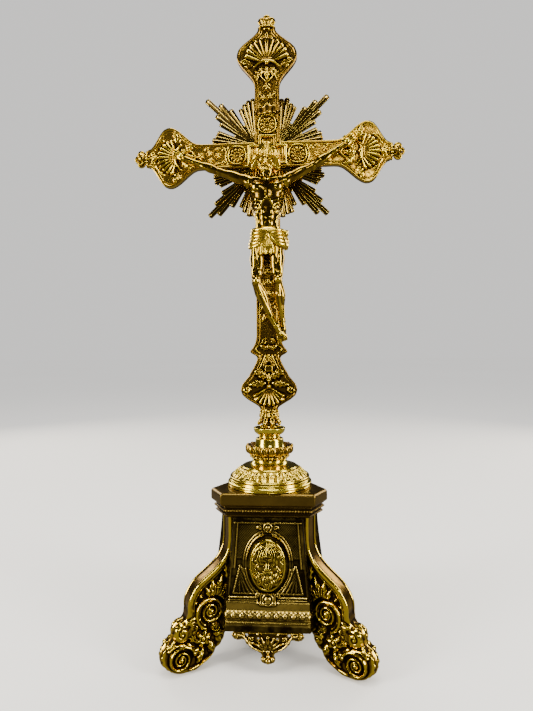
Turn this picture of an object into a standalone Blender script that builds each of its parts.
"""Altar cross: a lobed Latin cross with a corpus, on a turned stem and a three-footed pedestal."""

import math

import bmesh
import bpy
from mathutils import Matrix, Vector

for old in list(bpy.data.objects):
    bpy.data.objects.remove(old, do_unlink=True)

MM = 0.001
GAP = 0.3  # clearance between pieces that touch
STEM_Y = -24.4  # the stem stands forward of the middle of the three feet
SEGMENTS = 36

# Heights, in millimetres from the floor
CROSS_Z = 481.0
CROSS_FOOT_Z = 231.3
PLATE_TOP_Z, PLATE_LOW_Z, MOULDING_LOW_Z = 158.4, 146.5, 135.5
PANEL_TOP_Z, PANEL_LOW_Z = 135.2, 37.0
FLOOR_PLATE_Z = (38.6, 41.6)

# Half thicknesses and widths
ROD_R, BORE_R = 3.0, 3.4
CROSS_HALF_T = 3.0
FIELD_DEPTH = 0.9
RIM = 2.0
LEG_HALF_W = 8.5
LEG_AZIMUTHS = {"front_left": 210.0, "front_right": 330.0, "back": 90.0}
PANEL_AZIMUTHS = {"front": 270.0, "left": 150.0, "right": 30.0}

# Half widths of one lobed arm end at distances from the cross's centre
LOBE = (
    (119.2, 8.3), (117.4, 8.5), (115.4, 9.8), (112.6, 13.4), (109.4, 18.6), (106.4, 23.6),
    (103.0, 27.6), (99.2, 29.4), (95.4, 29.6), (91.6, 28.2), (87.0, 25.2), (82.4, 21.2),
    (77.6, 17.0), (73.4, 13.9), (69.6, 12.4), (65.0, 12.0),
)
# Half widths of the lower shaft and its foot lobe at heights from the floor
SHAFT = (
    (303.0, 11.8), (296.0, 13.2), (291.0, 16.0), (288.6, 18.4), (286.4, 17.6), (283.8, 12.4),
    (281.6, 11.0), (277.6, 12.2), (271.6, 15.2), (266.2, 18.6), (263.8, 19.4), (260.2, 22.6),
    (255.6, 26.4), (250.2, 27.8), (245.4, 26.2), (241.0, 21.4), (237.0, 14.6), (233.8, 9.6),
)

parts = bpy.data.collections.new("altar_cross")
cutters = bpy.data.collections.new("cutters")
bpy.context.scene.collection.children.link(parts)
bpy.context.scene.collection.children.link(cutters)


def brass(name, colour=(0.72, 0.48, 0.17), roughness=0.22):
    material = bpy.data.materials.new(name)
    material.use_nodes = True
    shader = material.node_tree.nodes["Principled BSDF"]
    shader.inputs["Base Color"].default_value = (*colour, 1.0)
    shader.inputs["Metallic"].default_value = 1.0
    shader.inputs["Roughness"].default_value = roughness
    return material


def place(name, data, colour=None, roughness=0.22, cutter=False):
    ob = bpy.data.objects.new(name, data)
    (cutters if cutter else parts).objects.link(ob)
    if cutter:
        ob.hide_render = True
        ob.display_type = "WIRE"
    elif data is not None:
        data.materials.append(brass(name, colour or (0.72, 0.48, 0.17), roughness))
    return ob


def stem_point(x, y, z):
    """A point given from the stem's axis, in metres."""
    return Vector((x * MM, (y + STEM_Y) * MM, z * MM))


def mesh_from(bm, name, smooth=False):
    bmesh.ops.recalc_face_normals(bm, faces=bm.faces[:])
    for face in bm.faces:
        face.smooth = smooth
    data = bpy.data.meshes.new(name)
    bm.to_mesh(data)
    bm.free()
    return data


def turned(name, outer, inner, segments=SEGMENTS, **look):
    """A turned ring: outer (radius, height) from top to bottom, then inner from bottom to top."""
    points = [(r * MM, 0.0, z * MM) for r, z in list(outer) + list(inner)]
    edges = [(i, (i + 1) % len(points)) for i in range(len(points))]
    data = bpy.data.meshes.new(name)
    data.from_pydata(points, edges, [])
    ob = place(name, data, **look)
    ob.location = stem_point(0, 0, 0)
    screw = ob.modifiers.new("turn", "SCREW")
    screw.axis = "Z"
    screw.angle = 2 * math.pi
    screw.steps = screw.render_steps = segments
    screw.use_merge_vertices = True
    screw.merge_threshold = 0.00001
    screw.use_smooth_shade = True
    return ob


def flat(name, outline, half_depth, holes=(), cutter=False, **look):
    """A flat outline filled both sides and extruded, as a mesh in its own XY plane."""
    curve = bpy.data.curves.new(name + "_curve", "CURVE")
    curve.dimensions = "2D"
    curve.fill_mode = "BOTH"
    curve.extrude = half_depth * MM
    for loop in (outline, *holes):
        spline = curve.splines.new("POLY")
        spline.points.add(len(loop) - 1)
        for point, (x, y) in zip(spline.points, loop):
            point.co = (x * MM, y * MM, 0.0, 1.0)
        spline.use_cyclic_u = True
    temporary = bpy.data.objects.new(name + "_curve", curve)
    cutters.objects.link(temporary)
    temporary.hide_render = True
    bpy.context.view_layer.update()
    graph = bpy.context.evaluated_depsgraph_get()
    data = bpy.data.meshes.new_from_object(temporary.evaluated_get(graph))
    bpy.data.objects.remove(temporary, do_unlink=True)
    bm = bmesh.new()
    bm.from_mesh(data)
    bmesh.ops.remove_doubles(bm, verts=bm.verts[:], dist=0.000001)
    bpy.data.meshes.remove(data)
    return place(name, mesh_from(bm, name), cutter=cutter, **look)


def upright(ob, x, y, z, azimuth=0.0, tilt=0.0):
    """Stands a flat piece up: its own Y becomes up, its own Z faces the front."""
    ob.rotation_euler = (math.radians(90.0 + tilt), 0.0, math.radians(azimuth))
    ob.location = stem_point(x, y, z)
    return ob


def rings(bm, sections):
    """A closed loft through rings that all have the same number of points."""
    loops = [[bm.verts.new(p) for p in ring] for ring in sections]
    for low, high in zip(loops, loops[1:]):
        for i in range(len(low)):
            j = (i + 1) % len(low)
            bm.faces.new((low[i], low[j], high[j], high[i]))
    bm.faces.new(loops[0][::-1])
    bm.faces.new(loops[-1])


def limb(path, radii, sides=10, flatten=1.0):
    """Rings of the given radii across a path of points, squashed towards the viewer by flatten."""
    points = [Vector(p) for p in path]
    made = []
    for i, point in enumerate(points):
        ahead = points[min(i + 1, len(points) - 1)] - points[max(i - 1, 0)]
        ahead.normalize()
        across = ahead.cross(Vector((0, 1, 0))).normalized()
        deep = across.cross(ahead).normalized()
        ring = []
        for k in range(sides):
            turn = 2 * math.pi * k / sides
            ring.append(
                (point + across * radii[i] * math.cos(turn) + deep * radii[i] * flatten * math.sin(turn)) * MM
            )
        made.append(ring)
    return made


def ball(bm, centre, radii, u=16, v=10, turn=None):
    matrix = Matrix.Translation(Vector(centre) * MM) @ (turn or Matrix.Identity(4)) @ Matrix.Diagonal((*[r * MM for r in radii], 1.0))
    bmesh.ops.create_uvsphere(bm, u_segments=u, v_segments=v, radius=1.0, matrix=matrix)


def boolean(ob, other, operation="DIFFERENCE"):
    modifier = ob.modifiers.new(operation.lower(), "BOOLEAN")
    modifier.operation = operation
    modifier.solver = "EXACT"
    modifier.object = other
    return modifier


def rod_cutter(name, start, end, radius, sides=16):
    """A straight cutter between two points given from the stem's axis."""
    a, b = stem_point(*start), stem_point(*end)
    bm = bmesh.new()
    axis = b - a
    matrix = Matrix.Translation((a + b) / 2) @ axis.to_track_quat("Z", "Y").to_matrix().to_4x4()
    bmesh.ops.create_cone(
        bm, cap_ends=True, segments=sides, radius1=radius * MM, radius2=radius * MM, depth=axis.length, matrix=matrix
    )
    return place(name, mesh_from(bm, name), cutter=True)


def triangle(inradius, half_width):
    """The six corners of a triangle with cut-off points, one long side facing the front."""
    points = []
    for azimuth in (270.0, 30.0, 150.0):
        a = math.radians(azimuth)
        for side in (-half_width, half_width):
            points.append((inradius * math.cos(a) - side * math.sin(a), inradius * math.sin(a) + side * math.cos(a)))
    return points


def radial(azimuth, r, lateral=0.0):
    a = math.radians(azimuth)
    return r * math.cos(a) - lateral * math.sin(a), r * math.sin(a) + lateral * math.cos(a)


# ---------------------------------------------------------------- pedestal

def lofted_triangle(name, levels, **look):
    """Levels are (height, inradius, half width of a long side)."""
    bm = bmesh.new()
    rings(bm, [[stem_point(x, y, z) for x, y in triangle(r, w)] for z, r, w in levels])
    return place(name, mesh_from(bm, name), **look)


top_plate = lofted_triangle(
    "top_plate",
    [
        (MOULDING_LOW_Z, 35.4, 37.0), (137.2, 36.6, 38.4), (139.2, 35.6, 37.4), (141.0, 36.2, 38.2),
        (143.4, 37.6, 39.8), (145.0, 37.2, 39.4), (146.4, 36.8, 39.0), (147.4, 38.4, 42.2),
        (149.0, 39.2, 43.0), (156.2, 39.2, 43.0), (157.6, 38.6, 42.4), (PLATE_TOP_Z, 37.4, 41.2),
    ],
    roughness=0.4,
)
boolean(top_plate, rod_cutter("cut_top_plate", (0, 0, 130), (0, 0, 165), BORE_R))


def panel_half(z):
    """Inradius and half width of a side panel's face at a height."""
    if z >= 62.0:
        t = (PANEL_TOP_Z - z) / (PANEL_TOP_Z - 62.0)
        return 35.0 + 7.4 * t**1.5, 31.6 + 5.6 * t**1.2
    return 42.4, 37.2


PANEL_FOOT = (
    (61.6, 43.4, 37.6), (55.2, 43.6, 37.6), (54.4, 45.6, 38.4), (51.4, 47.0, 39.0), (48.4, 45.6, 38.4),
    (47.6, 44.4, 37.6), (46.8, 45.8, 38.0), (43.6, 45.8, 38.0), (43.2, 47.2, 38.4), (PANEL_LOW_Z, 47.2, 38.4),
)

for side, azimuth in PANEL_AZIMUTHS.items():
    levels = []
    for k in range(7):
        z = PANEL_TOP_Z - k * (PANEL_TOP_Z - 62.2) / 6
        levels.append((z, *panel_half(z)))
    levels += PANEL_FOOT
    sections = []
    s = LEG_HALF_W + GAP
    for z, r, w in reversed(levels):
        # the ends turn back to lie along the sides of the two legs
        corner = 0.866 * w + 0.5 * r - 1.5
        near = (0.866 * corner - 0.5 * s, -(0.5 * corner + 0.866 * s))
        inner = corner - 6.0
        far = (0.866 * inner - 0.5 * s, -(0.5 * inner + 0.866 * s))
        plan = [(-w, -r), (w, -r), near, far, (-far[0], far[1]), (-near[0], near[1])]
        turn = math.radians(azimuth - 270.0)
        c, q = math.cos(turn), math.sin(turn)
        sections.append([stem_point(x * c - y * q, x * q + y * c, z) for x, y in plan])
    bm = bmesh.new()
    rings(bm, sections)
    place("panel_" + side, mesh_from(bm, "panel_" + side), colour=(0.42, 0.33, 0.17), roughness=0.38)

bottom_plate = lofted_triangle(
    "bottom_plate", [(FLOOR_PLATE_Z[0], 30.0, 26.0), (FLOOR_PLATE_Z[1], 30.0, 26.0)], roughness=0.45
)
boolean(bottom_plate, rod_cutter("cut_bottom_plate", (0, 0, 30), (0, 0, 50), BORE_R))

# One leg's side view: distance from the stem's axis, and height
LEG = (
    (46.4, 135.2), (46.2, 122.0), (46.4, 112.0), (48.0, 103.4), (52.2, 95.8), (58.6, 89.6), (66.0, 84.4),
    (73.6, 79.2), (79.6, 73.4), (83.8, 66.8), (85.8, 60.0), (86.0, 52.4), (88.0, 47.0), (93.6, 44.6),
    (97.2, 41.0), (98.6, 35.0), (100.4, 30.0), (104.8, 27.2), (108.2, 22.6), (109.4, 16.8), (107.6, 10.6),
    (103.2, 5.8), (97.6, 2.0), (91.6, 0.0), (79.0, 0.0), (73.6, 2.8), (68.0, 6.4), (63.8, 11.2), (60.2, 15.0),
    (55.4, 17.6), (53.0, 21.6), (51.4, 26.0), (48.4, 29.8), (46.0, 34.2), (44.4, 40.0), (41.0, 42.0),
    (26.0, 42.0), (26.0, 50.0), (38.6, 50.0), (39.4, 56.0), (39.4, 135.2),
)
SCREW_AT = 31.5

for side, azimuth in LEG_AZIMUTHS.items():
    leg = flat("leg_" + side, LEG, LEG_HALF_W)
    upright(leg, 0, 0, 0, azimuth)
    x, y = radial(azimuth, SCREW_AT)
    boolean(leg, rod_cutter("cut_leg_" + side, (x, y, 40), (x, y, 48), 1.9, 12))
    boolean(bottom_plate, rod_cutter("cut_ear_" + side, (x, y, 30), (x, y, 50), 1.9, 12))
    bm = bmesh.new()
    for low, high, radius, sides in ((35.0, 38.3, 3.4, 12), (37.6, 47.4, 1.5, 12)):
        bmesh.ops.create_cone(
            bm, cap_ends=True, segments=sides, radius1=radius * MM, radius2=radius * MM, depth=(high - low) * MM,
            matrix=Matrix.Translation(stem_point(x, y, (low + high) / 2)),
        )
        if radius > 2:
            head = place("leg_screw_" + side, mesh_from(bm, "leg_screw_" + side), roughness=0.35)
            bm = bmesh.new()
    boolean(head, place("shank_" + side, mesh_from(bm, "shank_" + side), cutter=True), "UNION")

# The pendant under one panel: half outline from its top corner down to the drop
APRON = (
    (30.0, 36.7), (32.2, 33.8), (30.8, 30.6), (26.4, 29.2), (22.0, 30.4), (18.6, 26.2), (14.8, 22.2),
    (9.6, 19.6), (6.0, 17.4), (4.8, 15.0), (6.4, 12.4), (4.6, 9.4), (0.0, 8.0),
)
for side, azimuth in PANEL_AZIMUTHS.items():
    outline = list(APRON) + [(-x, z) for x, z in reversed(APRON[:-1])]
    apron = flat("apron_" + side, outline, 1.6, roughness=0.3)
    x, y = radial(azimuth, 44.6)
    upright(apron, x, y, 0, azimuth + 90.0)

# Oval medallions that lean back with the panels
MEDAL_Z, MEDAL_HALF = 94.4, (15.6, 21.9)
MEDAL_TILT = math.degrees(math.atan2(5.0, 43.8))
for side, azimuth in PANEL_AZIMUTHS.items():
    bm = bmesh.new()
    sections = []
    for share, depth in ((0.97, 0.0), (1.0, 0.7), (1.0, 1.9), (0.95, 2.7), (0.88, 2.7), (0.84, 1.7), (0.5, 1.9)):
        sections.append(
            [
                Vector((MEDAL_HALF[0] * share * math.cos(t), MEDAL_HALF[1] * share * math.sin(t), depth)) * MM
                for t in (2 * math.pi * k / 28 for k in range(28))
            ]
        )
    rings(bm, sections)
    medallion = place("medallion_" + side, mesh_from(bm, "medallion_" + side), roughness=0.25)
    x, y = radial(azimuth, 39.3)
    upright(medallion, x, y, MEDAL_Z, azimuth + 90.0, -MEDAL_TILT)
    for tag, centre, size in (("head", (0, 4.2, 3.0), (5.0, 7.0, 2.9)), ("bust", (0, -9.6, 2.0), (10.0, 7.2, 2.3))):
        bm = bmesh.new()
        ball(bm, centre, size, 14, 8)
        relief = place(f"{tag}_{side}", mesh_from(bm, f"{tag}_{side}", True), cutter=True)
        relief.rotation_euler, relief.location = medallion.rotation_euler, medallion.location
        boolean(medallion, relief, "UNION")

# ---------------------------------------------------------------- stem

BORE = BORE_R
turned("base_disc", [(37.6, 165.2), (38.9, 164.4), (39.1, 163.3), (40.7, 162.3), (40.9, 161.2), (40.6, 159.8), (39.4, 158.7)],
       [(BORE, 158.7), (BORE, 165.2)])
turned("leaf_skirt", [(26.6, 175.2), (28.0, 174.6), (30.6, 172.3), (34.2, 169.2), (37.8, 166.6), (38.3, 165.5)],
       [(BORE, 165.5), (BORE, 175.2)])
turned("lower_bell", [(16.0, 183.7), (16.9, 182.9), (16.8, 181.6), (16.2, 181.0), (17.0, 179.8), (18.4, 178.2), (21.6, 177.0), (26.4, 176.5), (26.8, 175.9), (26.4, 175.5)],
       [(BORE, 175.5), (BORE, 183.7)])
turned("knop_ring", [(20.4, 197.0), (21.6, 196.4), (23.1, 193.6), (23.4, 191.0), (22.4, 188.2), (19.6, 187.2), (19.4, 185.0), (18.2, 184.0)],
       [(BORE, 184.0), (BORE, 189.2), (19.4, 189.2), (19.6, 195.6)])
turned("upper_bell", [(12.8, 203.2), (13.5, 202.4), (14.0, 199.0), (14.8, 196.0), (16.0, 193.7), (17.4, 191.6), (18.9, 190.4), (18.9, 189.5)],
       [(BORE, 189.5), (BORE, 203.2)])
turned("ring_collar", [(9.8, 206.2), (10.7, 205.5), (10.9, 204.8), (10.7, 204.1), (9.8, 203.5)], [(BORE, 203.5), (BORE, 206.2)])
turned("cup", [(15.0, 213.6), (15.6, 212.8), (15.4, 210.8), (14.9, 209.4), (13.2, 207.6), (10.9, 206.5)],
       [(BORE, 206.5), (BORE, 212.0), (12.6, 212.2)])
leaf_socket = turned("leaf_socket", [(8.4, 231.0), (8.8, 229.6), (8.6, 226.2), (8.9, 222.6), (10.2, 219.8), (11.9, 217.8), (11.4, 216.6), (9.8, 214.8), (8.6, 212.6)],
       [(BORE, 212.6), (BORE, 231.0)], segments=24)
bm = bmesh.new()
bmesh.ops.create_cube(bm, size=1.0, matrix=Matrix.Translation(stem_point(0, 0, 227.0)) @ Matrix.Diagonal((8.8 * MM, 3.9 * MM, 11.0 * MM, 1.0)))
boolean(leaf_socket, place("cut_slot", mesh_from(bm, "cut_slot"), cutter=True))

bm = bmesh.new()
bmesh.ops.create_cone(bm, cap_ends=True, segments=16, radius1=ROD_R * MM, radius2=ROD_R * MM, depth=(220.6 - 28.0) * MM,
                      matrix=Matrix.Translation(stem_point(0, 0, (220.6 + 28.0) / 2)))
place("tie_rod", mesh_from(bm, "tie_rod"), roughness=0.4)
turned("washer", [(8.0, 38.3), (8.0, 37.0)], [(BORE, 37.0), (BORE, 38.3)], segments=20)
nut = flat(
    "nut",
    [(6.6 * math.cos(math.pi * k / 3), 6.6 * math.sin(math.pi * k / 3)) for k in range(6)],
    3.05,
    holes=[[(BORE * math.cos(math.pi * k / 10), BORE * math.sin(math.pi * k / 10)) for k in range(20)]],
)
nut.location = stem_point(0, 0, 33.65)

# ---------------------------------------------------------------- cross


TOP_EXTRA = 5.1  # the upper arm's lobe is longer than the side arms'
LOBE_MIDDLE = 99.2


def arm_side(direction, extra=0.0):
    """One arm end's outline, counter-clockwise, from its first side through its tip to its second."""
    ux, uz = direction
    nx, nz = -uz, ux
    stretch = 1.0 + extra / (LOBE[0][0] - LOBE_MIDDLE)
    lobe = [(LOBE_MIDDLE + (u - LOBE_MIDDLE) * stretch if u > LOBE_MIDDLE else u, w) for u, w in LOBE]
    first = [(ux * u - nx * w, uz * u - nz * w) for u, w in reversed(lobe)]
    second = [(ux * u + nx * w, uz * u + nz * w) for u, w in lobe]
    return first + second


ARM_HALF = 12.1
shaft_right = [(w, z - CROSS_Z) for z, w in SHAFT]
outline = (
    [(ARM_HALF, -ARM_HALF)] + arm_side((1, 0)) + [(ARM_HALF, ARM_HALF)] + arm_side((0, 1), TOP_EXTRA)
    + [(-ARM_HALF, ARM_HALF)] + arm_side((-1, 0)) + [(-ARM_HALF, -ARM_HALF)]
    + [(-x, z) for x, z in shaft_right] + [(-8.4, CROSS_FOOT_Z - CROSS_Z), (8.4, CROSS_FOOT_Z - CROSS_Z)]
    + shaft_right[::-1]
)


def inset(loop, by):
    """A loop moved inwards along its corners' normals."""
    moved = []
    for i, here in enumerate(loop):
        before, after = Vector(loop[i - 1]), Vector(loop[(i + 1) % len(loop)])
        a, b = (Vector(here) - before).normalized(), (after - Vector(here)).normalized()
        normal = Vector((-(a.y + b.y), a.x + b.x)).normalized()
        stretch = max(0.6, normal.dot(Vector((-b.y, b.x))))
        moved.append((here[0] + normal.x * by / stretch, here[1] + normal.y * by / stretch))
    return moved


cross_plate = upright(flat("cross_plate", outline, CROSS_HALF_T), 0, 0, CROSS_Z)
field = upright(flat("cut_field", inset(outline, RIM), 2.0, cutter=True), 0, -CROSS_HALF_T - 2.0 + FIELD_DEPTH, CROSS_Z)
boolean(cross_plate, field)
bm = bmesh.new()
bmesh.ops.create_cube(bm, size=1.0, matrix=Matrix.Translation(stem_point(0, 0, 227.4)) @ Matrix.Diagonal((8.0 * MM, 3.2 * MM, 11.4 * MM, 1.0)))
boolean(cross_plate, place("tang", mesh_from(bm, "tang"), cutter=True), "UNION")

# Half of one ray cluster, from the arm towards its diagonal, measured from the inner corner of the cross
RAYS = (
    (43.2, -4.0), (43.6, 5.2), (41.4, 5.8), (41.2, 11.2), (36.8, 11.8), (35.8, 13.8), (21.6, 8.6), (20.2, 11.0),
    (33.2, 20.6), (31.8, 22.8), (43.0, 32.4), (41.4, 34.8), (47.4, 46.0), (45.6, 45.6),
)
for name, sx, sz in (("upper_left", -1, 1), ("upper_right", 1, 1), ("lower_left", -1, -1), ("lower_right", 1, -1)):
    half = list(RAYS)
    loop = [(-4.0, -4.0)] + half + [(b, a) for a, b in reversed(half[:-1])]
    loop = [(sx * (ARM_HALF + a), sz * (ARM_HALF + b)) for a, b in loop]
    upright(flat("glory_" + name, loop, 1.3, roughness=0.25), 0, CROSS_HALF_T + GAP + 1.3, CROSS_Z)


def turned_on(name, profile, matrix, segments=20, cutter=False, smooth=True, **look):
    """A solid of revolution about its own Z, closed on the axis, set in place by a matrix."""
    bm = bmesh.new()
    made = [bm.verts.new((r * MM, 0.0, z * MM)) for r, z in profile]
    edges = [bm.edges.new((a, b)) for a, b in zip(made, made[1:])]
    bmesh.ops.spin(bm, geom=made + edges, cent=(0, 0, 0), axis=(0, 0, 1), angle=2 * math.pi, steps=segments, use_duplicate=False)
    bmesh.ops.remove_doubles(bm, verts=bm.verts[:], dist=0.000005)
    bmesh.ops.transform(bm, matrix=matrix, verts=bm.verts[:])
    return place(name, mesh_from(bm, name, smooth), cutter=cutter, **look)


FINIAL = ((0.0, 119.5), (8.2, 119.5), (8.6, 120.4), (8.2, 121.4), (5.6, 122.0), (5.8, 123.0), (7.8, 124.6), (8.7, 127.2), (7.6, 130.4), (4.4, 132.6), (0.0, 133.5))
for name, turn in (("top", 0.0), ("left", -90.0), ("right", 90.0)):
    lift = TOP_EXTRA if name == "top" else 0.0
    matrix = (
        Matrix.Translation(stem_point(0, 0, CROSS_Z)) @ Matrix.Rotation(math.radians(turn), 4, "Y")
        @ Matrix.Translation(Vector((0, 0, lift * MM))) @ Matrix.Diagonal((1.0, 0.62, 1.0, 1.0))
    )
    turned_on("finial_" + name, FINIAL, matrix, 20)

FACE_Y = -CROSS_HALF_T + FIELD_DEPTH  # the cross's recessed field
ROSETTE = ((0.0, 0.3), (9.2, 0.3), (9.6, 0.8), (9.4, 1.9), (8.2, 2.1), (7.4, 1.3), (4.2, 1.5), (3.0, 2.4), (0.0, 2.8))
for name, x, z in (("top", 0.0, 29.6), ("left", -29.6, 0.0), ("right", 29.6, 0.0)):
    matrix = Matrix.Translation(stem_point(x, FACE_Y, CROSS_Z + z)) @ Matrix.Rotation(math.radians(90), 4, "X")
    turned_on("rosette_" + name, ROSETTE, matrix, 22)

# The titulus is a ribbon that waves in plan, rolled at its ends
wave = [(-11.3 + 22.6 * k / 16, 1.5 * math.cos(math.pi * (k / 16 - 0.5) * 2.0 * 1.5)) for k in range(17)]
loop = [(x, y - 0.6) for x, y in wave] + [(x, y + 0.6) for x, y in reversed(wave)]
titulus = flat("titulus", loop, 3.7)
titulus.location = stem_point(0, FACE_Y - 3.4, CROSS_Z + 43.2)

# ---------------------------------------------------------------- corpus


def loft_object(name, path, radii, sides=12, flatten=1.0, cutter=True, **look):
    bm = bmesh.new()
    moved = [(p[0], p[1] + STEM_Y, p[2]) for p in path]
    rings(bm, limb(moved, radii, sides, flatten))
    return place(name, mesh_from(bm, name, True), cutter=cutter, **look)


body = loft_object(
    "corpus_body",
    [(0, -11.0, 458), (0, -11.4, 454), (0, -11.8, 450), (0, -12.4, 444), (0, -12.6, 436), (0, -12.0, 427), (0, -11.0, 418),
     (0, -11.0, 410), (0, -11.4, 404), (0, -12.0, 396), (0, -12.2, 388), (0, -12.2, 384)],
    [7.0, 11.5, 15.0, 16.4, 15.8, 14.2, 12.2, 11.8, 14.6, 16.6, 15.6, 11.0],
    sides=16, flatten=0.56, cutter=False, roughness=0.2,
)
pieces = [
    loft_object("thigh_left", [(-7.6, -12.4, 398), (-9.0, -13.8, 384), (-10.6, -16.2, 368), (-11.8, -17.6, 354), (-9.4, -15.6, 342), (-2.0, -11.8, 326), (6.6, -8.8, 313), (10.6, -7.8, 308)],
                [8.4, 8.2, 7.0, 5.9, 5.3, 5.2, 3.9, 3.4], 12, 0.92),
    loft_object("thigh_right", [(7.6, -12.2, 398), (9.0, -13.4, 384), (10.0, -15.8, 368), (10.4, -17.2, 355), (11.0, -15.6, 343), (13.0, -12.2, 327), (14.0, -10.0, 314), (14.2, -9.6, 310)],
                [8.2, 8.0, 6.9, 5.8, 5.2, 5.2, 3.9, 3.4], 12, 0.92),
    loft_object("foot", [(11.6, -7.4, 312), (12.4, -8.6, 308), (13.4, -8.4, 303), (14.0, -7.6, 298), (14.2, -7.0, 295)], [3.6, 4.8, 5.2, 4.4, 2.8], 10, 0.85),
    loft_object("cloth", [(0, -12.2, 407), (0, -12.6, 403), (1, -13.0, 396), (1.5, -13.2, 389), (2, -13.0, 385)], [15.4, 17.4, 18.2, 17.6, 15.4], 16, 0.6),
]
bm = bmesh.new()
NOD = Matrix.Rotation(math.radians(26), 4, "X") @ Matrix.Rotation(math.radians(7), 4, "Y")
ball(bm, (0.0, -14.0 + STEM_Y, 468.0), (9.4, 9.6, 12.6), 16, 12, NOD)
pieces.append(place("head", mesh_from(bm, "head", True), cutter=True))
for piece in pieces:
    boolean(body, piece, "UNION")
bm = bmesh.new()
bmesh.ops.create_cube(bm, size=1.0, matrix=Matrix.Translation(stem_point(0, FACE_Y - 0.8 - GAP + 20.0, 390)) @ Matrix.Diagonal((80 * MM, 40 * MM, 260 * MM, 1.0)))
boolean(body, place("cut_back", mesh_from(bm, "cut_back"), cutter=True))

HANDS = {"left": (-84.0, 479.4), "right": (76.6, 488.2)}
for side, sign in (("left", -1), ("right", 1)):
    hx, hz = HANDS[side]
    start = Vector((sign * 12.0, -10.8, 450.4))
    hand = Vector((hx, -6.4, hz))
    path, radii = [], []
    for share, radius, sag in (
        (0.0, 6.6, 0.0), (0.1, 6.6, 0.4), (0.22, 5.4, 0.2), (0.36, 5.0, -0.6), (0.5, 4.2, -1.0), (0.6, 4.4, -0.8), (0.76, 3.6, -0.3), (0.88, 2.8, 0.0), (0.93, 3.8, 0.2), (1.0, 4.4, 0.2), (1.06, 2.6, 0.0),
    ):
        p = start.lerp(hand, share)
        path.append((p.x, p.y, p.z + sag))
        radii.append(radius)
    arm = loft_object("corpus_arm_" + side, path, radii, 12, 0.8, cutter=False, roughness=0.2)
    for tag, target, far in (("inner", arm, 0.0), ("outer", body, 40.0)):
        edge = 17.6 + (GAP if tag == "inner" else 0.0)
        bm = bmesh.new()
        middle = (edge - 20.0) if tag == "inner" else (edge + 20.0)
        bmesh.ops.create_cube(bm, size=1.0, matrix=Matrix.Translation(stem_point(sign * middle, -12, 452)) @ Matrix.Diagonal((40 * MM, 60 * MM, (60 if tag == "inner" else 30) * MM, 1.0)))
        boolean(target, place(f"cut_{tag}_{side}", mesh_from(bm, f"cut_{tag}_{side}"), cutter=True))
    boolean(arm, bpy.data.objects["cut_back"])
    hole = rod_cutter("cut_palm_" + side, (hx, -20, hz), (hx, 0.5, hz), 1.1, 10)
    boolean(arm, hole)
    boolean(cross_plate, hole)
    nail = ((0.0, 0.0), (0.8, 0.0), (0.8, 9.9), (1.9, 10.0), (2.2, 10.9), (1.2, 11.9), (0.0, 12.2))
    matrix = Matrix.Translation(stem_point(hx, -0.9, hz)) @ Matrix.Rotation(math.radians(90), 4, "X")
    turned_on("nail_" + side, nail, matrix, 10)

fx, fz = 13.0, 305.0
hole = rod_cutter("cut_foot", (fx, -30, fz), (fx, 0.5, fz), 1.1, 10)
boolean(body, hole)
boolean(cross_plate, hole)
nail = ((0.0, 0.0), (0.8, 0.0), (0.8, 12.4), (1.9, 12.5), (2.3, 13.5), (1.2, 14.6), (0.0, 14.9))
turned_on("nail_feet", nail, Matrix.Translation(stem_point(fx, -0.9, fz)) @ Matrix.Rotation(math.radians(90), 4, "X"), 10)

# Crown of thorns: a ring of twisted stems round the head
bm = bmesh.new()
major, count, sides = 11.9, 28, 6
loops = []
for i in range(count):
    turn = 2 * math.pi * i / count
    swell = 1.25 + 0.25 * math.cos(7 * turn)
    lift = 0.7 * math.sin(7 * turn)
    ring = []
    for k in range(sides):
        a = 2 * math.pi * k / sides
        r = major + swell * math.cos(a)
        ring.append(bm.verts.new(Vector((r * math.cos(turn), r * 0.98 * math.sin(turn), lift + swell * math.sin(a))) * MM))
    loops.append(ring)
for i in range(count):
    a, b = loops[i], loops[(i + 1) % count]
    for k in range(sides):
        bm.faces.new((a[k], a[(k + 1) % sides], b[(k + 1) % sides], b[k]))
crown = place("crown_of_thorns", mesh_from(bm, "crown_of_thorns", True), roughness=0.3)
crown.matrix_world = Matrix.Translation(stem_point(0.4, -15.7, 471.4)) @ NOD
